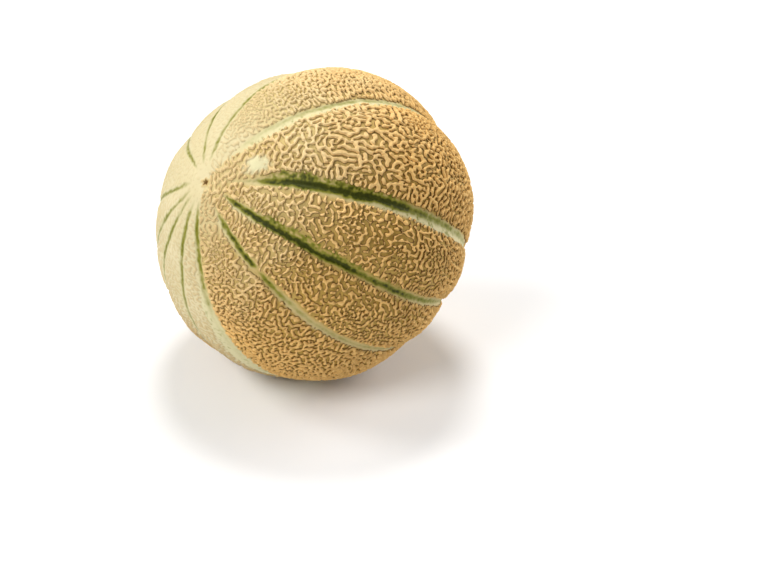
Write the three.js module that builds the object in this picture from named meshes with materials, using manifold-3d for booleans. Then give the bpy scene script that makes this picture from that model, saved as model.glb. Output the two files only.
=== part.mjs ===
// Whole netted cantaloupe melon, lying on its side with the blossom end raised.
// Units are millimetres and +Z is up. The origin is on the small flat spot that the
// melon rests on, straight below the fruit's middle.

import * as THREE from 'three';
import { mergeVertices } from 'three/addons/utils/BufferGeometryUtils.js';
import Module from 'manifold-3d';

const { clamp, degToRad, euclideanModulo, lerp, smoothstep } = THREE.MathUtils;

// The fruit's body, before its lobes and sutures.
const equatorRadius = 70;
const poleRadius = 68;
// How much fuller the blossom half is than the stem half.
const blossomFullness = 1;
// The fruit isn't quite round: across its wide side it is this much wider, and narrower square to that.
const outOfRound = 2.8;
const wideSide = degToRad(-31);

// The lobes stand proud between the sutures. A lobe of this half angle has this height.
const lobeHeight = 1.9;
const lobeHalfAngle = degToRad(22);
// Lobes and sutures fade out towards both ends, between these two latitudes.
const fadeStart = degToRad(10);
const fadeEnd = degToRad(84);

// The sutures run from end to end, as rounded valleys. angle, in degrees, is round the
// fruit's axis, from its upper side.
const sutureHalfWidth = 8;
const sutures = [
  { angle: -159.5, depth: 0.5 },
  { angle: -117.5, depth: 0.8 },
  { angle: -90.5, depth: 1.1 },
  { angle: -62, depth: 1.3 },
  { angle: -18, depth: 1.2 },
  { angle: 24, depth: 0.7 },
  { angle: 50, depth: 0.6 },
  { angle: 77, depth: 0.5 },
  { angle: 120.5, depth: 0.6 },
  { angle: 142, depth: 0.6 },
  { angle: 159, depth: 0.6 },
  { angle: 181, depth: 0.6 },
];

// The blossom end is a small dimple. The stem end is a dished scar, where the ripe fruit
// came off its vine.
const blossomDimpleRadius = 5;
const blossomDimpleDepth = 0.8;
const stemScarRadius = 7;
const stemScarDepth = 1.4;

// How it lies: the blossom end points along -X, turned towards -Y and tilted up.
const blossomTurn = degToRad(34.5);
const blossomTilt = degToRad(35.5);
// The spot is flat for at least this far round the point straight below the fruit's middle.
const restSpotRadius = 8;

// How finely the surface is divided. Rings crowd towards the two ends, where the dimples
// are, and a crowding of 0 spaces them evenly.
const stepsPerLobe = 6;
const rings = 40;
const endCrowding = 0.5;

const rind = new THREE.MeshStandardMaterial({
  name: 'netted_rind',
  color: new THREE.Color(0.79, 0.67, 0.44),
  roughness: 0.6,
  metalness: 0,
});

// Degrees from one suture to the next one round.
function gapAfter(index) {
  const next = sutures[(index + 1) % sutures.length].angle;
  return euclideanModulo(next - sutures[index].angle, 360);
}

// Which lobe a share of the way round falls in, and how far across that lobe.
function lobeAt(share) {
  const place = share * sutures.length;
  const index = Math.min(Math.floor(place), sutures.length - 1);
  return { index, across: place - index };
}

// The angle round the axis. Every lobe gets as many steps, so each suture is a line of vertices.
function angleAt(share) {
  const { index, across } = lobeAt(share);
  return degToRad(sutures[index].angle + across * gapAfter(index));
}

// Height of the lobe: a rounded hump between its two sutures, higher on a wider lobe.
function lobeRise(share) {
  const { index, across } = lobeAt(share);
  const halfAngle = degToRad(gapAfter(index)) / 2;
  const hump = Math.sin(Math.PI * across) ** 1.5;
  return lobeHeight * (halfAngle / lobeHalfAngle) ** 1.5 * hump;
}

function sutureDip(angle, latitude) {
  let dip = 0;
  for (const suture of sutures) {
    const turn = angle - degToRad(suture.angle);
    const apart = Math.abs(Math.atan2(Math.sin(turn), Math.cos(turn)));
    const distance = apart * equatorRadius * Math.cos(latitude);
    dip += suture.depth * Math.exp(-((distance / sutureHalfWidth) ** 2));
  }
  return dip;
}

// The two dimples, as smooth dishes. The stem scar's floor is flatter.
function endDip(latitude) {
  const fromBlossom = (Math.PI / 2 - latitude) * poleRadius;
  const fromStem = (Math.PI / 2 + latitude) * poleRadius;
  const blossom = blossomDimpleDepth * Math.exp(-((fromBlossom / blossomDimpleRadius) ** 2));
  const stem = stemScarDepth * Math.exp(-((fromStem / stemScarRadius) ** 4));
  return blossom + stem;
}

// Distance from the fruit's middle to its skin.
function skinRadius(share, latitude) {
  const angle = angleAt(share);
  const girth = Math.cos(latitude) ** 2;
  let radius = 1 / Math.hypot(Math.cos(latitude) / equatorRadius, Math.sin(latitude) / poleRadius);
  radius += blossomFullness * Math.sin(latitude) * girth;
  radius += outOfRound * Math.cos(2 * (angle - wideSide)) * girth;
  const fade = 1 - smoothstep(Math.abs(latitude), fadeStart, fadeEnd);
  radius += fade * (lobeRise(share) - sutureDip(angle, latitude));
  return radius - endDip(latitude);
}

// The whole skin in the fruit's own frame: the blossom end is at +Z, and angle 0 at +X.
function makeSkin() {
  const geometry = new THREE.SphereGeometry(equatorRadius, sutures.length * stepsPerLobe, rings);
  const position = geometry.getAttribute('position');
  const place = geometry.getAttribute('uv');
  for (let i = 0; i < position.count; i += 1) {
    // At the two ends the sphere's own share runs half a step past its limits.
    const share = clamp(place.getX(i), 0, 1);
    const down = 1 - place.getY(i);
    const crowded = down - (endCrowding * Math.sin(2 * Math.PI * down)) / (2 * Math.PI);
    const latitude = Math.PI / 2 - Math.PI * crowded;
    const angle = angleAt(share);
    const radius = skinRadius(share, latitude);
    const fromAxis = radius * Math.cos(latitude);
    position.setXYZ(
      i,
      fromAxis * Math.cos(angle),
      fromAxis * Math.sin(angle),
      radius * Math.sin(latitude),
    );
  }
  geometry.deleteAttribute('normal');
  geometry.deleteAttribute('uv');
  return mergeVertices(geometry, 1e-3);
}

// Height of the skin where it is restSpotRadius from the plumb line through the fruit's middle,
// taken at the highest point of that ring round the fruit's underside.
function restHeight(geometry) {
  const corners = geometry.getAttribute('position');
  const index = geometry.getIndex();
  const start = new THREE.Vector3();
  const end = new THREE.Vector3();
  let height = -Infinity;
  for (let i = 0; i < index.count; i += 1) {
    const next = i % 3 === 2 ? i - 2 : i + 1;
    start.fromBufferAttribute(corners, index.getX(i));
    end.fromBufferAttribute(corners, index.getX(next));
    const startOut = Math.hypot(start.x, start.y) - restSpotRadius;
    const endOut = Math.hypot(end.x, end.y) - restSpotRadius;
    if (start.z < 0 && startOut < 0 && endOut >= 0) {
      height = Math.max(height, lerp(start.z, end.z, startOut / (startOut - endOut)));
    }
  }
  return height;
}

// Lays the fruit down in the ground, deep enough for the rest spot.
function layDown(geometry) {
  geometry.rotateY(blossomTilt - Math.PI / 2);
  geometry.rotateZ(blossomTurn);
  geometry.translate(0, 0, -restHeight(geometry));
  return geometry;
}

function toSolid(wasm, geometry) {
  return new wasm.Manifold(new wasm.Mesh({
    numProp: 3,
    vertProperties: new Float32Array(geometry.getAttribute('position').array),
    triVerts: new Uint32Array(geometry.getIndex().array),
  }));
}

function toGeometry(solid) {
  const mesh = solid.getMesh();
  const geometry = new THREE.BufferGeometry();
  geometry.setAttribute('position', new THREE.BufferAttribute(mesh.vertProperties, 3));
  geometry.setIndex(new THREE.BufferAttribute(mesh.triVerts, 1));
  return geometry;
}

// The ground, as a block whose top is at Z 0.
function makeGround() {
  const across = 4 * equatorRadius;
  const deep = equatorRadius;
  const block = new THREE.BoxGeometry(across, across, deep);
  block.translate(0, 0, -deep / 2);
  block.deleteAttribute('normal');
  block.deleteAttribute('uv');
  return mergeVertices(block, 1e-3);
}

const wasm = await Module();
wasm.setup();

const wholeFruit = toSolid(wasm, layDown(makeSkin()));
const fruit = wholeFruit.subtract(toSolid(wasm, makeGround()));

const melon = new THREE.Mesh(toGeometry(fruit), rind);
melon.name = 'melon';

const group = new THREE.Group();
group.add(melon);

export default group;
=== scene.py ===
import math
from collections import namedtuple

import bpy
import numpy as np
from mathutils import Euler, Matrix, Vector


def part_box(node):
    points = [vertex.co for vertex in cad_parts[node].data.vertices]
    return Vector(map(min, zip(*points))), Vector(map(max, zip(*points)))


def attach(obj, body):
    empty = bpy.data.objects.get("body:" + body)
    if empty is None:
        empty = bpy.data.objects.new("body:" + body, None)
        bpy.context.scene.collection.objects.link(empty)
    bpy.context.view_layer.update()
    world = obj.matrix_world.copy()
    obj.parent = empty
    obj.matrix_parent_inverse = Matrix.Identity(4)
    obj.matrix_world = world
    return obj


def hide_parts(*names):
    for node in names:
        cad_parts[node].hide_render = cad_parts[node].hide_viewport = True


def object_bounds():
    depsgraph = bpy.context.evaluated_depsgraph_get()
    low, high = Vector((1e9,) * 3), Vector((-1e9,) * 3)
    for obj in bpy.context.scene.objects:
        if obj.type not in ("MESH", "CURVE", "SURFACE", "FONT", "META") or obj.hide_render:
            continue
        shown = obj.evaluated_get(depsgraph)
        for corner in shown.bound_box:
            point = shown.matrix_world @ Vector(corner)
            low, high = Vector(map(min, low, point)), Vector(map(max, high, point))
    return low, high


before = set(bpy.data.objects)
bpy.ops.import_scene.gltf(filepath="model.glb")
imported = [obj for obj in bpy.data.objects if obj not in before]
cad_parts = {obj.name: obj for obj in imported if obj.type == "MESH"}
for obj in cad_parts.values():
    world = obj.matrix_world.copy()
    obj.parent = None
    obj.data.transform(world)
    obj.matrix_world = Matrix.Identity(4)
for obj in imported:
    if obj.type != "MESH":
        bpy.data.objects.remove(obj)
cad_low, cad_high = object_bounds()

# A whole netted cantaloupe. Sizes are in millimetres and angles in degrees unless a line
# says otherwise. The fruit's own frame has the blossom end at +Z and angle 0 at +X.
MM = 0.001

# The body, as the frame's solid has it.
EQUATOR_RADIUS = 70.0
POLE_RADIUS = 68.0
BLOSSOM_FULLNESS = 1.0
OUT_OF_ROUND = 2.8
WIDE_SIDE = -31.0
LOBE_HEIGHT = 1.9
LOBE_HALF_ANGLE = 22.0
FADE_START = 10.0
FADE_END = 84.0
SUTURE_HALF_WIDTH = 8.0
BLOSSOM_DIMPLE_RADIUS = 5.0
BLOSSOM_DIMPLE_DEPTH = 0.8
STEM_SCAR_RADIUS = 7.0
STEM_SCAR_DEPTH = 1.4
BLOSSOM_TURN = 34.5
BLOSSOM_TILT = 35.5

# From the skin between the cords to the cords' tops, where they stand out most, and the
# share of that which lies under the bare skin's surface.
NET_HEIGHT = 1.35
NET_SUNK = 0.65
# The grown netting's value at which a cord has its full height, and the power that shapes
# a cord's sides: 1 slants them, and less makes them steeper.
CORD_FULL = 1.15
CORD_POWER = 0.7
# How far the valleys' middles are pressed in, and how far the whole skin rolls gently.
GROOVE_DEPTH = 0.45
ROLLING_HEIGHT = 0.30

# The smooth oval's middle, and its half widths round the fruit and along it.
PATCH_ANGLE = -46.5
PATCH_LATITUDE = 67.5
PATCH_ACROSS = 3.0
PATCH_ALONG = 4.6

# Points of the star that the blossom left.
STAR_POINTS = 5

# The side of the fruit whose netting is painted palest: painted light on its upper, lit side.
PAINTED_LIT_SIDE = 50.0

# Beside a suture the cords run straight towards it, this far apart down the fruit and round
# it. That is so up to FRINGE_START from the suture, and has faded out at FRINGE_END.
FRINGE_DOWN = 2.1
FRINGE_ROUND = 3.8
FRINGE_START = 3.5
FRINGE_END = 8.0

# Squares along one side of each of the six patches that the netting is grown on. The rind
# itself has twice as many.
NET_SQUARES = 210
# The netting grows in this many rounds. Each compares a place's close surroundings, spread
# so many times, with its wide ones, spread so many times more, and sharpens the difference.
GROWTH_ROUNDS = 6
CLOSE_SPREADS = 4
WIDE_SPREADS = 12
SHARPENING = 6.0
# Cords come out this many times as far apart as one spread reaches.
CORD_SPACING = 13.08

# A suture's look changes from the blossom end to the stem end. Each stop gives the
# latitude, how dark green the valley is, how pale its margin is, and how far the netting
# stays away from it towards higher angles (above) and lower ones (below). Where that is
# under 0, the netting grows over the suture.
Stop = namedtuple("Stop", "latitude green pale above below")
Suture = namedtuple("Suture", "angle depth stops")
# The sutures on the left and far sides look alike: thin lines, and stripes a little wider.
LINE = (
    Stop(84, 0.0, 0.0, 0.2, 0.2),
    Stop(78, 0.34, 0.1, 0.7, 0.7),
    Stop(60, 0.42, 0.2, 1.0, 1.0),
    Stop(40, 0.36, 0.3, 1.2, 1.2),
    Stop(10, 0.26, 0.4, 1.2, 1.2),
    Stop(-40, 0.20, 0.5, 1.2, 1.2),
    Stop(-75, 0.08, 0.2, 0.6, 0.6),
)
STRIPE = (
    Stop(84, 0.0, 0.0, 0.2, 0.2),
    Stop(78, 0.34, 0.1, 1.0, 0.8),
    Stop(62, 0.46, 0.2, 1.5, 1.1),
    Stop(45, 0.38, 0.3, 1.6, 1.2),
    Stop(15, 0.24, 0.4, 1.2, 1.2),
    Stop(-40, 0.20, 0.5, 1.2, 1.2),
    Stop(-75, 0.08, 0.2, 0.6, 0.6),
)
SUTURES = (
    Suture(-159.5, 0.5, (
        Stop(84, 0.0, 0.0, 0.2, 0.2), Stop(78, 0.42, 0.1, 1.0, 0.8),
        Stop(56, 0.46, 0.3, 1.4, 1.0), Stop(42, 0.16, 0.9, 2.0, 3.6),
        Stop(10, 0.12, 1.0, 2.0, 5.0), Stop(-40, 0.16, 0.7, 1.5, 2.5),
        Stop(-75, 0.08, 0.2, 0.6, 0.6))),
    Suture(-117.5, 0.8, (
        Stop(79, 0.0, 0.2, -1.4, -1.4), Stop(72, 0.70, 0.6, 0.9, 1.6),
        Stop(54, 0.80, 0.3, 1.4, 1.0), Stop(51, 0.10, 0.0, 0.0, 0.0),
        Stop(47, 0.54, 0.2, 1.6, 0.6), Stop(36, 0.26, 0.5, 2.0, 1.0),
        Stop(10, 0.24, 0.5, 1.8, 1.0), Stop(-40, 0.20, 0.5, 1.2, 1.2),
        Stop(-75, 0.08, 0.2, 0.6, 0.6))),
    Suture(-90.5, 1.1, (
        Stop(80, 0.0, 0.2, -1.4, -1.4), Stop(73, 0.75, 0.8, 0.9, 1.6),
        Stop(60, 0.95, 0.5, 2.2, 1.2), Stop(46, 1.0, 0.2, 3.2, 0.6),
        Stop(27, 0.90, 0.2, 2.2, 0.9), Stop(5, 0.70, 0.3, 1.8, 1.2),
        Stop(-18, 0.40, 0.6, 1.6, 1.4), Stop(-50, 0.24, 0.5, 1.2, 1.2),
        Stop(-75, 0.08, 0.2, 0.6, 0.6))),
    Suture(-62, 1.3, (
        Stop(81, 0.0, 0.2, -1.4, -1.4), Stop(68, 0.30, 0.5, 1.4, 0.9),
        Stop(60, 0.90, 0.4, 3.6, 1.2), Stop(51, 1.0, 0.4, 4.4, 1.4),
        Stop(40, 1.0, 0.5, 3.2, 1.8), Stop(21, 1.0, 0.8, 2.0, 2.8),
        Stop(10, 0.75, 0.8, 1.4, 2.8), Stop(-1, 0.46, 0.85, 1.2, 3.2),
        Stop(-16, 0.40, 0.85, 1.0, 3.2), Stop(-45, 0.24, 0.7, 1.2, 2.2),
        Stop(-75, 0.08, 0.2, 0.6, 0.6))),
    Suture(-18, 1.2, (
        Stop(81, 0.0, 0.2, -1.4, -1.4), Stop(68, 0.14, 0.8, 0.8, 2.4),
        Stop(58, 0.20, 0.9, 0.6, 3.2), Stop(46, 0.32, 0.8, 0.5, 2.6),
        Stop(26, 0.30, 0.9, 0.5, 2.4), Stop(0, 0.22, 0.9, 0.6, 2.6),
        Stop(-40, 0.20, 0.6, 1.2, 1.4), Stop(-75, 0.08, 0.2, 0.6, 0.6))),
    Suture(24, 0.7, LINE),
    Suture(50, 0.6, LINE),
    Suture(77, 0.5, LINE),
    Suture(120.5, 0.6, LINE),
    Suture(142, 0.6, STRIPE),
    Suture(159, 0.6, STRIPE),
    Suture(181, 0.6, STRIPE),
)
# In radians.
SUTURE_ANGLES = np.radians([s.angle for s in SUTURES])

# How the netting grows along each lobe: how far apart its cords lie down the fruit and
# round it, how far they join up into a web, how full they are, and how much they stand out.
Grain = namedtuple("Grain", "latitude down round_ web full relief")
STEM_HALF = Grain(-60, 2.6, 3.0, 0.15, 0.0, 0.9)
RIB = (
    Grain(80, 1.9, 2.0, 0.0, -0.2, 0.12), Grain(60, 1.9, 2.2, 0.0, -0.2, 0.20),
    Grain(40, 2.1, 2.5, 0.0, -0.2, 0.26), Grain(10, 2.4, 2.8, 0.1, -0.1, 0.50), STEM_HALF,
)
LOBES = (
    (Grain(82, 1.9, 2.2, 0.0, 0.0, 0.6), Grain(74, 2.0, 2.4, 0.0, -0.1, 0.6),
     Grain(60, 2.1, 2.6, 0.1, 0.0, 0.9), Grain(20, 2.4, 2.7, 0.1, 0.0, 1.0), STEM_HALF),
    (Grain(84, 1.9, 2.6, 0.0, 0.1, 0.75), Grain(76, 2.1, 3.4, 0.0, 0.0, 0.85),
     Grain(62, 2.1, 3.4, 0.1, 0.0, 1.0), Grain(50, 2.5, 2.6, 0.2, -0.15, 1.0),
     Grain(20, 2.6, 2.7, 0.2, -0.25, 1.0), STEM_HALF),
    (Grain(84, 1.9, 2.6, 0.0, 0.1, 0.75), Grain(76, 2.1, 3.4, 0.0, 0.0, 0.85),
     Grain(62, 2.1, 3.6, 0.1, 0.0, 1.0), Grain(48, 3.0, 2.3, 0.2, -0.15, 1.0),
     Grain(10, 3.0, 2.4, 0.25, -0.25, 1.0), STEM_HALF),
    (Grain(84, 1.9, 2.6, 0.0, 0.1, 0.7), Grain(76, 2.1, 3.2, 0.0, 0.0, 0.7),
     Grain(66, 2.1, 3.4, 0.1, 0.0, 0.9), Grain(50, 3.0, 2.3, 0.2, 0.15, 1.0),
     Grain(22, 3.8, 2.2, 0.2, 0.2, 1.0), Grain(0, 2.4, 2.6, 0.1, 0.1, 1.0), STEM_HALF),
    (Grain(78, 1.9, 2.2, 0.0, -0.2, 0.25), Grain(60, 1.9, 2.6, 0.0, 0.0, 0.6),
     Grain(40, 2.0, 2.8, 0.0, 0.1, 1.0), Grain(10, 2.0, 2.6, 0.0, 0.1, 1.0), STEM_HALF),
    RIB, RIB, RIB, RIB, RIB, RIB,
    (Grain(78, 1.9, 2.0, 0.0, -0.2, 0.2), Grain(60, 1.9, 2.2, 0.0, -0.1, 0.35),
     Grain(40, 2.1, 2.5, 0.1, -0.2, 0.22), Grain(10, 2.4, 2.8, 0.1, -0.2, 0.35), STEM_HALF),
)


def smooth_step(low, high, value):
    """0 below low, 1 above high, and a smooth rise between them."""
    share = np.clip((value - low) / (high - low), 0.0, 1.0)
    return share * share * (3.0 - 2.0 * share)


def bell(value, width):
    return np.exp(-((value / width) ** 2))


def cloud(points, size, seed):
    """Soft blotches about size across, from 0 to 1."""
    places = points / size
    cells = np.floor(places).astype(np.int32)
    low = cells.min(axis=0)
    cells -= low
    table = np.random.default_rng(seed).random(tuple(cells.max(axis=0) + 2), dtype=np.float32)
    share = (places - low - cells).astype(np.float32)
    share = share * share * (3.0 - 2.0 * share)
    total = np.zeros(len(points), np.float32)
    for corner in np.ndindex(2, 2, 2):
        weight = np.ones(len(points), np.float32)
        for axis in range(3):
            weight = weight * (share[:, axis] if corner[axis] else 1.0 - share[:, axis])
        total += weight * table[tuple((cells + np.array(corner)).T)]
    return total


# ---------------------------------------------------------------------------
# The shell: six square patches joined along their edges
# ---------------------------------------------------------------------------

def cube_keys(squares, across, down):
    """A number for each place on each side of a cube. A place one step past a side's edge
    is one step down the side beyond it."""
    past = sum(1 * (value < 0) + (value > squares) for value in (across, down))
    across, down = np.clip(across, 0, squares), np.clip(down, 0, squares)
    near, far = past, squares - past
    sides = (
        (far, across, down), (near, down, across), (down, far, across),
        (across, near, down), (across, down, far), (down, across, near),
    )
    step = squares + 1
    return np.stack([(x * step + y) * step + z for x, y, z in sides])


# first is each corner's place in the patches, and grid is the corner at each place. keys
# are the corners' cube keys, in order.
Shell = namedtuple("Shell", "squares directions grid first keys")


def make_shell(squares):
    row = np.arange(squares + 1)
    across, down = np.meshgrid(row, row, indexing="ij")
    keys, first, grid = np.unique(
        cube_keys(squares, across, down).ravel(), return_index=True, return_inverse=True)
    step = squares + 1
    corners = np.stack([keys // (step * step), keys // step % step, keys % step], axis=1)
    cube = np.tan((corners / squares * 2.0 - 1.0) * math.pi / 4.0)
    directions = cube / np.linalg.norm(cube, axis=1, keepdims=True)
    return Shell(squares, directions, grid.reshape(6, step, step), first, keys)


def shell_faces(shell):
    """The four corners of every face, and each corner's place on a 3 by 2 sheet."""
    grid = shell.grid
    faces = np.stack(
        [grid[:, :-1, :-1], grid[:, 1:, :-1], grid[:, 1:, 1:], grid[:, :-1, 1:]], axis=-1)
    margin = 0.004
    share = margin + (1.0 - 2.0 * margin) * np.arange(shell.squares + 1) / shell.squares
    sheet = np.empty((*grid.shape, 2))
    for side in range(6):
        sheet[side, :, :, 0] = (side % 3 + share[:, None]) / 3.0
        sheet[side, :, :, 1] = (side // 3 + share[None, :]) / 2.0
    corner_uv = np.stack(
        [sheet[:, :-1, :-1], sheet[:, 1:, :-1], sheet[:, 1:, 1:], sheet[:, :-1, 1:]], axis=3)
    return faces.reshape(-1, 4), corner_uv.reshape(-1, 2)


def neighbours(shell):
    """The eight corners round each corner."""
    row = np.arange(shell.squares + 1)
    across, down = np.meshgrid(row, row, indexing="ij")
    around = [step for step in np.ndindex(3, 3) if step != (1, 1)]
    keys = [
        cube_keys(shell.squares, across + i - 1, down + j - 1).ravel()[shell.first]
        for i, j in around
    ]
    return np.searchsorted(shell.keys, np.stack(keys, axis=1))


def refine(coarse, values, fine):
    """Values on a coarse shell carried over to one with twice its squares."""
    sheet = values[coarse.grid]
    patches = np.empty((6, fine.squares + 1, fine.squares + 1), np.float32)
    patches[:, ::2, ::2] = sheet
    patches[:, 1::2, ::2] = 0.5 * (sheet[:, 1:, :] + sheet[:, :-1, :])
    patches[:, :, 1::2] = 0.5 * (patches[:, :, 2::2] + patches[:, :, :-2:2])
    return patches.ravel()[fine.first]


# ---------------------------------------------------------------------------
# The bare skin
# ---------------------------------------------------------------------------

# Each corner's angle round the axis and its latitude, both in radians, then its latitude in
# degrees and its place on a plain ball of the fruit's size.
Skin = namedtuple("Skin", "angle latitude degrees ball")


def skin_of(shell):
    x, y, z = shell.directions.T
    latitude = np.arcsin(np.clip(z, -1.0, 1.0))
    ball = (shell.directions * EQUATOR_RADIUS).astype(np.float32)
    return Skin(np.arctan2(y, x), latitude, np.degrees(latitude), ball)


def lobe_at(angle):
    """Which lobe each angle is in, the share of the way across it, and its half angle in radians."""
    starts = SUTURE_ANGLES - SUTURE_ANGLES[0]
    ends = np.append(starts[1:], 2.0 * math.pi)
    turn = np.mod(angle - SUTURE_ANGLES[0], 2.0 * math.pi)
    index = np.searchsorted(starts, turn, side="right") - 1
    wide = ends[index] - starts[index]
    return index, (turn - starts[index]) / wide, wide / 2.0


def off_suture(skin, suture):
    """Signed distance round the fruit from the suture, in millimetres."""
    turn = np.mod(skin.angle - math.radians(suture.angle) + math.pi, 2.0 * math.pi) - math.pi
    return turn * EQUATOR_RADIUS * np.cos(skin.latitude)


def skin_radius(skin):
    """Distance from the fruit's middle to its bare skin."""
    latitude = skin.latitude
    girth = np.cos(latitude) ** 2
    radius = 1.0 / np.hypot(np.cos(latitude) / EQUATOR_RADIUS, np.sin(latitude) / POLE_RADIUS)
    radius += BLOSSOM_FULLNESS * np.sin(latitude) * girth
    radius += OUT_OF_ROUND * np.cos(2.0 * (skin.angle - math.radians(WIDE_SIDE))) * girth
    _, across, half_angle = lobe_at(skin.angle)
    relief = LOBE_HEIGHT * (half_angle / math.radians(LOBE_HALF_ANGLE)) ** 1.5
    relief *= np.sin(math.pi * across) ** 1.5
    for suture in SUTURES:
        relief -= suture.depth * bell(off_suture(skin, suture), SUTURE_HALF_WIDTH)
    radius += relief * (1.0 - smooth_step(FADE_START, FADE_END, np.abs(skin.degrees)))
    from_blossom = (math.pi / 2.0 - latitude) * POLE_RADIUS
    from_stem = (math.pi / 2.0 + latitude) * POLE_RADIUS
    radius -= BLOSSOM_DIMPLE_DEPTH * bell(from_blossom, BLOSSOM_DIMPLE_RADIUS)
    radius -= STEM_SCAR_DEPTH * np.exp(-((from_stem / STEM_SCAR_RADIUS) ** 4))
    return radius


# ---------------------------------------------------------------------------
# The netting
# ---------------------------------------------------------------------------

def grain_of(skin):
    """The netting's grain at each place, blended a little across the sutures."""
    index, across, _ = lobe_at(skin.angle)
    before = 0.5 * (1.0 - smooth_step(0.0, 0.12, across))
    after = 0.5 * smooth_step(0.88, 1.0, across)
    fields = []
    for field in Grain._fields[1:]:
        total = np.zeros_like(across)
        for lobe, grains in enumerate(LOBES):
            stops = grains[::-1]
            values = np.interp(
                skin.degrees, [g.latitude for g in stops], [getattr(g, field) for g in stops])
            share = np.where(index == lobe, 1.0 - before - after, 0.0)
            share += np.where(index == (lobe + 1) % len(LOBES), before, 0.0)
            share += np.where(index == (lobe - 1) % len(LOBES), after, 0.0)
            total += share * values
        fields.append(total)
    return Grain(skin.degrees, *fields)


def spreading(shell, skin, down, round_, lean):
    """How each corner's value spreads from its eight neighbours, for cords the given
    distances apart. lean turns the cords' grain, in radians."""
    near = neighbours(shell)
    sine, cosine = np.sin(skin.angle), np.cos(skin.angle)
    rise = np.sin(skin.latitude)
    offsets = skin.ball[near] - skin.ball[:, None, :]
    east = offsets[..., 1] * cosine[:, None] - offsets[..., 0] * sine[:, None]
    inward = -(offsets[..., 0] * cosine[:, None] + offsets[..., 1] * sine[:, None])
    north = inward * rise[:, None] + offsets[..., 2] * np.cos(skin.latitude)[:, None]
    turn_sine, turn_cosine = np.sin(lean)[:, None], np.cos(lean)[:, None]
    along = north * turn_cosine + east * turn_sine
    across = east * turn_cosine - north * turn_sine
    distance = along ** 2 + across ** 2

    # The square of one step, as the eight neighbours' mean is about 1.5 times that.
    square = distance.mean(axis=1) / 1.5
    # A narrow bell, longer in the direction in which the cords lie farther apart.
    shape = 0.36 * square / (down * round_)
    weights = np.exp(
        -0.5 * (along ** 2 / (shape * down ** 2)[:, None]
                + across ** 2 / (shape * round_ ** 2)[:, None]))
    # The spread of one step, such that cords come out the wanted distance apart.
    wanted = (down ** 2 + round_ ** 2) / CORD_SPACING ** 2
    wanted = np.minimum(wanted, 1.15 * square)
    weights *= (wanted / (weights * distance).sum(axis=1))[:, None]
    return near, weights.astype(np.float32)


def grow_net(near, weights, web, seed):
    """Grows wavy cords out of noise: each spot strengthens its close surroundings and
    weakens those farther off. A higher web joins the cords up round closed pits. Over 0
    is cord and under 0 is bare skin."""
    own = 1.0 - weights.sum(axis=1)

    def spread(values, times):
        for _ in range(times):
            values = own * values + np.einsum("ij,ij->i", values[near], weights)
        return values

    net = np.random.default_rng(seed).standard_normal(len(near)).astype(np.float32)
    for _ in range(GROWTH_ROUNDS):
        close = spread(net, CLOSE_SPREADS)
        difference = close - spread(close, WIDE_SPREADS)
        net = np.tanh(SHARPENING * difference + web)
    return 2.0 * difference


def suture_bands(skin):
    """How green, how pale and how netted the skin is beside its sutures, how deep their
    grooves are, and how far the nearest one is."""
    green = np.zeros_like(skin.latitude)
    pale = np.zeros_like(green)
    netted = np.ones_like(green)
    groove = np.zeros_like(green)
    nearest = np.full_like(green, 99.0)
    ragged = cloud(skin.ball, 1.8, 11) - 0.5
    mottle = cloud(skin.ball, 0.9, 13) + cloud(skin.ball, 1.9, 14) - 1.0
    sway = 1.4 * (cloud(skin.ball, 14.0, 12) - 0.5)
    worn = 0.75 + 0.5 * cloud(skin.ball, 6.0, 15)
    for suture in SUTURES:
        stops = suture.stops[::-1]
        places = [s.latitude for s in stops]
        depth, paleness, above, below = (
            np.interp(skin.degrees, places, [getattr(s, field) for s in stops])
            for field in Stop._fields[1:]
        )
        off = off_suture(skin, suture) + sway
        edge = off + 0.9 * ragged

        gap = np.where(off > 0.0, off - above, -off - below)
        netted = np.minimum(netted, smooth_step(-0.3, 1.4, gap + 1.1 * ragged))
        nearest = np.minimum(nearest, np.abs(off))

        # The green line along the valley, and a thinner wash of green above it.
        above, below = np.maximum(above, 0.0), np.maximum(below, 0.0)
        middle = 0.12 * (above - below)
        core_width = 0.7 + 0.25 * (above + below)
        core = 1.2 * depth * bell(edge - middle, core_width) * (1.0 + 0.5 * mottle)
        groove = np.maximum(groove, depth * bell(off - middle, 0.8))
        wash = depth * smooth_step(-0.5, 0.8, edge) * (1.0 - smooth_step(above, above + 3.0, edge))
        wash *= smooth_step(0.9, 2.4, above) * (0.48 + 0.8 * mottle)
        green = np.maximum(green, np.maximum(core, wash) * worn)

        # The pale margin, mostly below the line, with green specks strewn over it.
        side = paleness * smooth_step(-below - 2.4, -below - 0.2, edge)
        pale = np.maximum(pale, side * (1.0 - smooth_step(0.2, 1.2 + above, edge)))
        specks = 0.8 * paleness * np.sqrt(depth) * smooth_step(-0.1, 0.6, mottle)
        specks *= smooth_step(-below - 1.0, -below, edge) * (1.0 - smooth_step(0.0, 1.0, edge))
        green = np.maximum(green, specks)
    return np.clip(green, 0.0, 1.0), pale, netted, groove, nearest


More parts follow.
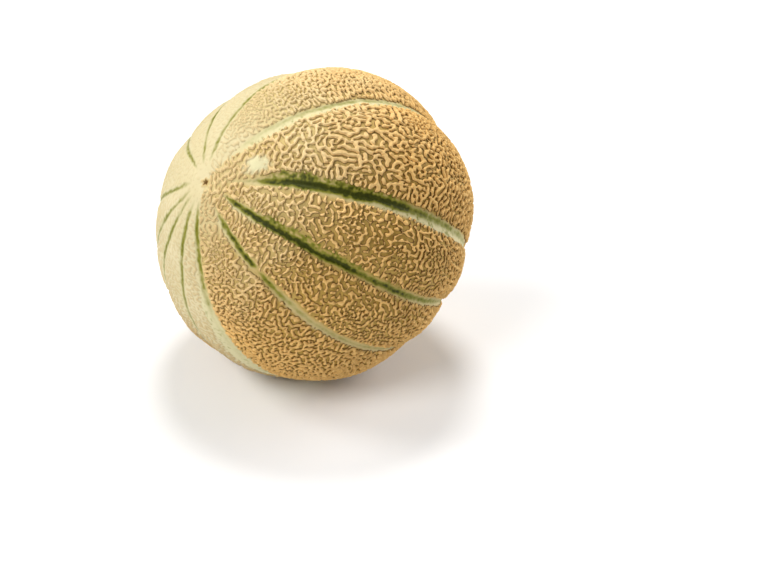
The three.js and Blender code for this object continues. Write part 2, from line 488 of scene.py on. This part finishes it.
def scars(skin):
    """The blossom scar and the stem scar: how far they rise, how corky and how brown they are,
    and how far the netting keeps off them."""
    ragged = cloud(skin.ball, 1.3, 41) - 0.5
    from_blossom = np.radians(90.0 - skin.degrees) * POLE_RADIUS
    from_stem = np.radians(90.0 + skin.degrees) * POLE_RADIUS
    # The blossom scar is a sunken brown star with a corky rim.
    points = 0.35 * np.cos(STAR_POINTS * skin.angle + 0.7)
    star = from_blossom + points + 1.2 * ragged
    rise = 0.35 * bell(star - 1.5, 0.7) - 0.55 * bell(from_blossom, 0.7)
    corky = 0.7 * (1.0 - smooth_step(1.2, 2.8, star))
    brown = 1.0 - smooth_step(0.5, 1.3, star)

    # The stem scar is a disc of torn strands inside a raised rim.
    edge = from_stem + 1.2 * ragged
    rise += 0.7 * bell(edge - STEM_SCAR_RADIUS - 1.2, 1.1)
    disc = 1.0 - smooth_step(STEM_SCAR_RADIUS - 0.8, STEM_SCAR_RADIUS + 0.2, edge)
    strands = cloud(skin.ball, 0.9, 42) + cloud(skin.ball, 2.2, 43) - 1.0
    rise += disc * (0.5 * strands + 0.6 * bell(from_stem, 1.8))
    corky = np.maximum(corky, disc)
    crack = bell(edge - STEM_SCAR_RADIUS, 0.45) + disc * smooth_step(0.25, 0.6, -strands)
    brown = np.maximum(brown, 0.8 * np.clip(crack, 0.0, 1.0))

    clear = smooth_step(2.2, 4.2, from_blossom + 2.0 * ragged)
    clear *= smooth_step(STEM_SCAR_RADIUS + 1.0, STEM_SCAR_RADIUS + 3.0, edge)
    return rise, corky, brown, clear


def smooth_patch(skin):
    """An oval on the big lobe by its suture's start, which never grew any netting."""
    off = np.mod(skin.angle - math.radians(PATCH_ANGLE) + math.pi, 2.0 * math.pi) - math.pi
    across = off * EQUATOR_RADIUS * np.cos(skin.latitude) / PATCH_ACROSS
    along = np.radians(skin.degrees - PATCH_LATITUDE) * POLE_RADIUS / PATCH_ALONG
    ragged = 0.8 * (cloud(skin.ball, 1.8, 51) - 0.5)
    return 1.0 - smooth_step(0.3, 1.8, np.hypot(across, along) + ragged)


def pale_end_and_lit_side(skin):
    """How pale the netting is painted: paler towards the blossom end, and paler on the upper side as
    painted light.
    """
    # Painted light: the upper side, where the lamps fall, is painted paler.
    upper = 25.0 * np.cos(skin.angle - math.radians(PAINTED_LIT_SIDE)) * np.cos(skin.latitude)
    blotches = 16.0 * (cloud(skin.ball, 9.0, 61) - 0.5)
    return smooth_step(2.0, 72.0, np.minimum(skin.degrees, 52.0) + upper + blotches)


def netting(coarse, skin):
    """The netting over a coarse shell, and how much it stands out."""
    grain = grain_of(skin)
    _, _, _, _, nearest = suture_bands(skin)
    fringe = 1.0 - smooth_step(FRINGE_START, FRINGE_END, nearest)
    down = grain.down + (FRINGE_DOWN - grain.down) * fringe
    round_ = grain.round_ + (FRINGE_ROUND - grain.round_) * fringe
    uneven = 0.8 + 0.4 * cloud(skin.ball, 5.0, 21)
    lean = 1.6 * (cloud(skin.ball, 6.0, 22) - 0.5) * (1.0 - 0.5 * fringe)
    near, weights = spreading(coarse, skin, down * uneven, round_ * uneven, lean)
    net = grow_net(near, weights, grain.web.astype(np.float32), 100)
    full = grain.full + 0.5 * (cloud(skin.ball, 4.0, 23) - 0.5)
    breaks = 1.5 * (cloud(skin.ball, 1.4, 24) - 0.5)
    return net + full + breaks, grain.relief


def make_mesh(shell, points, masks):
    """A smooth mesh over a shell, with its points in metres and a value per point for each mask."""
    faces, corner_uv = shell_faces(shell)
    mesh = bpy.data.meshes.new("netted_rind")
    mesh.vertices.add(len(points))
    mesh.vertices.foreach_set("co", points.astype(np.float32).ravel())
    mesh.loops.add(faces.size)
    mesh.loops.foreach_set("vertex_index", faces.astype(np.int32).ravel())
    mesh.polygons.add(len(faces))
    mesh.polygons.foreach_set("loop_start", np.arange(0, faces.size, 4, dtype=np.int32))
    mesh.polygons.foreach_set("loop_total", np.full(len(faces), 4, dtype=np.int32))
    sheet = mesh.uv_layers.new(name="OFBake")
    sheet.data.foreach_set("uv", corner_uv.astype(np.float32).ravel())
    mesh.update(calc_edges=True)
    mesh.polygons.foreach_set("use_smooth", np.ones(len(faces), dtype=bool))
    for name, values in masks.items():
        layer = mesh.attributes.new(name, "FLOAT", "POINT")
        layer.data.foreach_set("value", values.astype(np.float32))
    return mesh


def make_rind(low, high):
    """The whole fruit's skin with its netting, sitting where the frame's solid sits. Also
    the height of the fruit's middle, in millimetres."""
    coarse = make_shell(NET_SQUARES)
    net, relief = netting(coarse, skin_of(coarse))
    fine = make_shell(2 * NET_SQUARES)
    skin = skin_of(fine)
    net, relief = refine(coarse, net, fine), refine(coarse, relief, fine)
    green, pale, netted, groove, _ = suture_bands(skin)
    rise, scar_cork, brown, clear = scars(skin)
    patch = smooth_patch(skin)
    netted *= clear * (1.0 - smooth_step(0.6, 1.0, patch))
    relief *= 1.0 - patch
    pale = np.maximum(pale, patch)

    # Over 0 is cord and under 0 is bare skin, also where the netting keeps off.
    signed = net * netted - 1.2 * (1.0 - netted)
    crest = np.clip(signed / CORD_FULL, 0.0, 1.0)
    cord = (crest * (2.0 - crest)) ** CORD_POWER
    bare = skin_radius(skin)
    corky = cloud(skin.ball, 0.7, 32) - 0.5
    rolling = cloud(skin.ball, 6.0, 33) + cloud(skin.ball, 17.0, 34) - 1.0
    radius = bare + NET_HEIGHT * relief * (cord - NET_SUNK) + ROLLING_HEIGHT * rolling
    radius += (0.08 + 0.10 * cord) * corky
    radius += rise - GROOVE_DEPTH * groove

    turn, tip = math.radians(BLOSSOM_TURN), math.radians(BLOSSOM_TILT - 90.0)
    lie = Euler((0.0, tip, turn)).to_matrix()
    laid = fine.directions @ np.array(lie).T
    lift = high.z / MM - (laid[:, 2] * bare).max()
    points = laid * radius[:, None]
    points[:, 2] = np.maximum(points[:, 2] + lift, low.z / MM)

    # The last mask paints the netting paler towards the blossom end, and paler on the upper side as
    # painted light.
    mesh = make_mesh(fine, points * MM, {
        "net": 0.5 + 0.5 * np.clip(signed, -1.0, 1.0), "relief": relief, "green": green,
        "pale": pale, "cork": scar_cork, "brown": brown, "pale_end_and_lit_side": pale_end_and_lit_side(skin),
    })
    piece = bpy.data.objects.new("netted_rind", mesh)
    bpy.context.scene.collection.objects.link(piece)
    return piece, lift


# ---------------------------------------------------------------------------
# Materials
# ---------------------------------------------------------------------------

def rgb(red, green, blue):
    """A colour given from 0 to 255, as the shader wants it."""
    def channel(value):
        share = value / 255.0
        return share / 12.92 if share <= 0.04045 else ((share + 0.055) / 1.055) ** 2.4
    return (channel(red), channel(green), channel(blue), 1.0)


def new_material(name):
    material = bpy.data.materials.new(name)
    material.use_nodes = True
    nodes = material.node_tree.nodes
    return material, nodes, material.node_tree.links, nodes["Principled BSDF"]


def blend_colour(nodes, links, amount, first, second):
    """Mixes from first to second, which are sockets or plain colours."""
    mix = nodes.new("ShaderNodeMix")
    mix.data_type = "RGBA"
    for socket, value in ((mix.inputs[0], amount), (mix.inputs[6], first), (mix.inputs[7], second)):
        if isinstance(value, bpy.types.NodeSocket):
            links.new(value, socket)
        else:
            socket.default_value = value
    return mix.outputs[2]


def attribute(nodes, name):
    node = nodes.new("ShaderNodeAttribute")
    node.attribute_name = name
    return node.outputs["Fac"]


def spread_range(nodes, links, value, low, high):
    """0 where value is at low and 1 where it is at high, smooth between them and level past
    them. low may be the higher of the two."""
    node = nodes.new("ShaderNodeMapRange")
    node.interpolation_type = "SMOOTHSTEP"
    links.new(value, node.inputs["Value"])
    node.inputs["From Min"].default_value = low
    node.inputs["From Max"].default_value = high
    return node.outputs["Result"]


def multiply(nodes, links, first, second):
    node = nodes.new("ShaderNodeMath")
    node.operation = "MULTIPLY"
    links.new(first, node.inputs[0])
    links.new(second, node.inputs[1])
    return node.outputs["Value"]


def noise(nodes, links, scale, detail):
    """Fine speckle fixed to the fruit, from 0 to 1."""
    place = nodes.new("ShaderNodeTexCoord")
    node = nodes.new("ShaderNodeTexNoise")
    node.inputs["Scale"].default_value = scale
    node.inputs["Detail"].default_value = detail
    links.new(place.outputs["Object"], node.inputs["Vector"])
    return node.outputs["Fac"]


def make_rind_material():
    material, nodes, links, shader = new_material("netted_rind")
    net, relief = attribute(nodes, "net"), attribute(nodes, "relief")
    green, pale = attribute(nodes, "green"), attribute(nodes, "pale")
    # Paler netting towards the blossom end, and on the upper side as painted light.
    pale_end_and_lit_net = attribute(nodes, "pale_end_and_lit_side")
    speckle = noise(nodes, links, 900.0, 3.0)
    patches = noise(nodes, links, 70.0, 2.0)

    khaki = blend_colour(nodes, links, patches, rgb(166, 132, 54), rgb(200, 166, 90))
    cream = blend_colour(nodes, links, patches, rgb(198, 184, 138), rgb(216, 203, 164))
    # The skin between the cords is paler where that mask is high, in part as painted light.
    khaki = blend_colour(nodes, links, pale_end_and_lit_net, khaki, rgb(202, 182, 124))
    skin = blend_colour(nodes, links, spread_range(nodes, links, relief, 0.3, 0.9), cream, khaki)
    skin = blend_colour(nodes, links, pale, skin, rgb(212, 204, 160))
    moss = blend_colour(nodes, links, speckle, rgb(106, 108, 22), rgb(140, 137, 50))
    olive = blend_colour(nodes, links, speckle, rgb(24, 32, 0), rgb(76, 80, 6))
    skin = blend_colour(nodes, links, spread_range(nodes, links, green, 0.0, 0.6), skin, moss)
    skin = blend_colour(nodes, links, spread_range(nodes, links, green, 0.5, 1.0), skin, olive)

    # Painted shade: the cords' feet are painted dark brown where they meet the skin, stronger where
    # the netting is painted less pale.
    painted_foot_shade = spread_range(nodes, links, net, 0.30, 0.50)
    painted_foot_shade = multiply(nodes, links, painted_foot_shade, spread_range(nodes, links, pale_end_and_lit_net, 2.2, -0.4))
    skin = blend_colour(
        nodes, links, multiply(nodes, links, painted_foot_shade, relief), skin, rgb(86, 52, 10))
    # Painted light in part: the cork is paler where the netting is painted pale, towards the blossom
    # end and on the upper side.
    cork = blend_colour(nodes, links, speckle, rgb(206, 158, 82), rgb(238, 199, 130))
    pale_and_lit_cork = blend_colour(nodes, links, speckle, rgb(210, 182, 128), rgb(240, 220, 172))
    cork = blend_colour(nodes, links, pale_end_and_lit_net, cork, pale_and_lit_cork)
    on_cord = multiply(nodes, links, spread_range(nodes, links, net, 0.50, 0.62), relief)
    colour = blend_colour(nodes, links, on_cord, skin, cork)
    colour = blend_colour(nodes, links, attribute(nodes, "cork"), colour, rgb(196, 164, 100))
    colour = blend_colour(nodes, links, attribute(nodes, "brown"), colour, rgb(104, 74, 26))
    links.new(colour, shader.inputs["Base Color"])
    # The bare skin is waxy and the cork is dull, with a fine grain all over.
    dull = nodes.new("ShaderNodeMapRange")
    links.new(on_cord, dull.inputs["Value"])
    dull.inputs["To Min"].default_value = 0.55
    dull.inputs["To Max"].default_value = 0.75
    links.new(dull.outputs["Result"], shader.inputs["Roughness"])
    bump = nodes.new("ShaderNodeBump")
    bump.inputs["Strength"].default_value = 0.35
    bump.inputs["Distance"].default_value = 0.0002
    links.new(noise(nodes, links, 1600.0, 3.0), bump.inputs["Height"])
    links.new(bump.outputs["Normal"], shader.inputs["Normal"])
    shader.inputs["Specular IOR Level"].default_value = 0.16
    return material


# In metres.
FLOOR_RADIUS = 1.0


def make_floor():
    bpy.ops.mesh.primitive_circle_add(
        vertices=128, radius=FLOOR_RADIUS, fill_type="NGON", location=(0.0, 0.0, cad_low.z))
    floor = bpy.context.object
    floor.name = "floor"
    material, _, _, shader = new_material("pale_floor")
    shader.inputs["Base Color"].default_value = (0.9, 0.9, 0.9, 1.0)
    shader.inputs["Roughness"].default_value = 0.8
    floor.data.materials.append(material)


# ---------------------------------------------------------------------------
# Light and camera
# ---------------------------------------------------------------------------

def add_softbox(name, place, target, size, watts):
    light = bpy.data.lights.new(name, "AREA")
    light.shape = "DISK"
    light.size = size
    light.energy = watts
    lamp = bpy.data.objects.new(name, light)
    bpy.context.scene.collection.objects.link(lamp)
    lamp.location = place
    lamp.rotation_mode = "QUATERNION"
    lamp.rotation_quaternion = (target - place).to_track_quat("-Z", "Y")


def make_sky():
    """White to the camera, and a softer fill for everything it lights."""
    world = bpy.data.worlds.new("studio")
    bpy.context.scene.world = world
    world.use_nodes = True
    nodes, links = world.node_tree.nodes, world.node_tree.links
    fill, seen = nodes["Background"], nodes.new("ShaderNodeBackground")
    for background, strength in ((fill, 0.15), (seen, 1.0)):
        background.inputs["Color"].default_value = (1.0, 1.0, 1.0, 1.0)
        background.inputs["Strength"].default_value = strength
    path = nodes.new("ShaderNodeLightPath")
    mix = nodes.new("ShaderNodeMixShader")
    links.new(path.outputs["Is Camera Ray"], mix.inputs[0])
    links.new(fill.outputs[0], mix.inputs[1])
    links.new(seen.outputs[0], mix.inputs[2])
    links.new(mix.outputs[0], nodes["World Output"].inputs["Surface"])


# The softboxes: where each stands from the fruit's middle and how wide it is, both in
# metres, and its watts.
SOFTBOXES = (
    ("left", (-0.83, 0.07, 0.66), 0.36, 4.2),
    ("top", (0.0, 0.37, 0.99), 0.36, 6.8),
    ("front", (-0.54, -0.59, 0.70), 0.5, 6.5),
    ("right", (1.04, 0.43, 0.43), 1.1, 12.5),
)
# The distance is in metres, and the lens in millimetres.
CAMERA_ELEVATION = 30.0
CAMERA_DISTANCE = 0.63
CAMERA_LENS = 64.9
# How far the camera turns down and to the right from the fruit's middle.
CAMERA_DOWN = 2.60
CAMERA_RIGHT = 2.96


def make_camera(middle):
    """Looks down on the fruit, a little past its lower right, so that it sits up and to the left."""
    tilt = math.radians(CAMERA_ELEVATION)
    camera = bpy.data.objects.new("camera", bpy.data.cameras.new("camera"))
    bpy.context.scene.collection.objects.link(camera)
    camera.data.lens = CAMERA_LENS
    camera.location = middle + Vector((0.0, -math.cos(tilt), math.sin(tilt))) * CAMERA_DISTANCE
    camera.rotation_mode = "QUATERNION"
    level = Euler((math.radians(90.0 - CAMERA_ELEVATION), 0.0, 0.0)).to_quaternion()
    aside = Euler((-math.radians(CAMERA_DOWN), -math.radians(CAMERA_RIGHT), 0.0)).to_quaternion()
    camera.rotation_quaternion = level @ aside
    bpy.context.scene.camera = camera


solid_low, solid_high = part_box("melon")
rind, lift = make_rind(solid_low, solid_high)
rind.data.materials.append(make_rind_material())
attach(rind, "root")
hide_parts("melon")

middle = Vector((0.0, 0.0, lift * MM))
make_floor()
make_sky()
for name, place, size, watts in SOFTBOXES:
    add_softbox(name, middle + Vector(place), middle, size, watts)
make_camera(middle)
bpy.context.scene.view_settings.view_transform = "Standard"
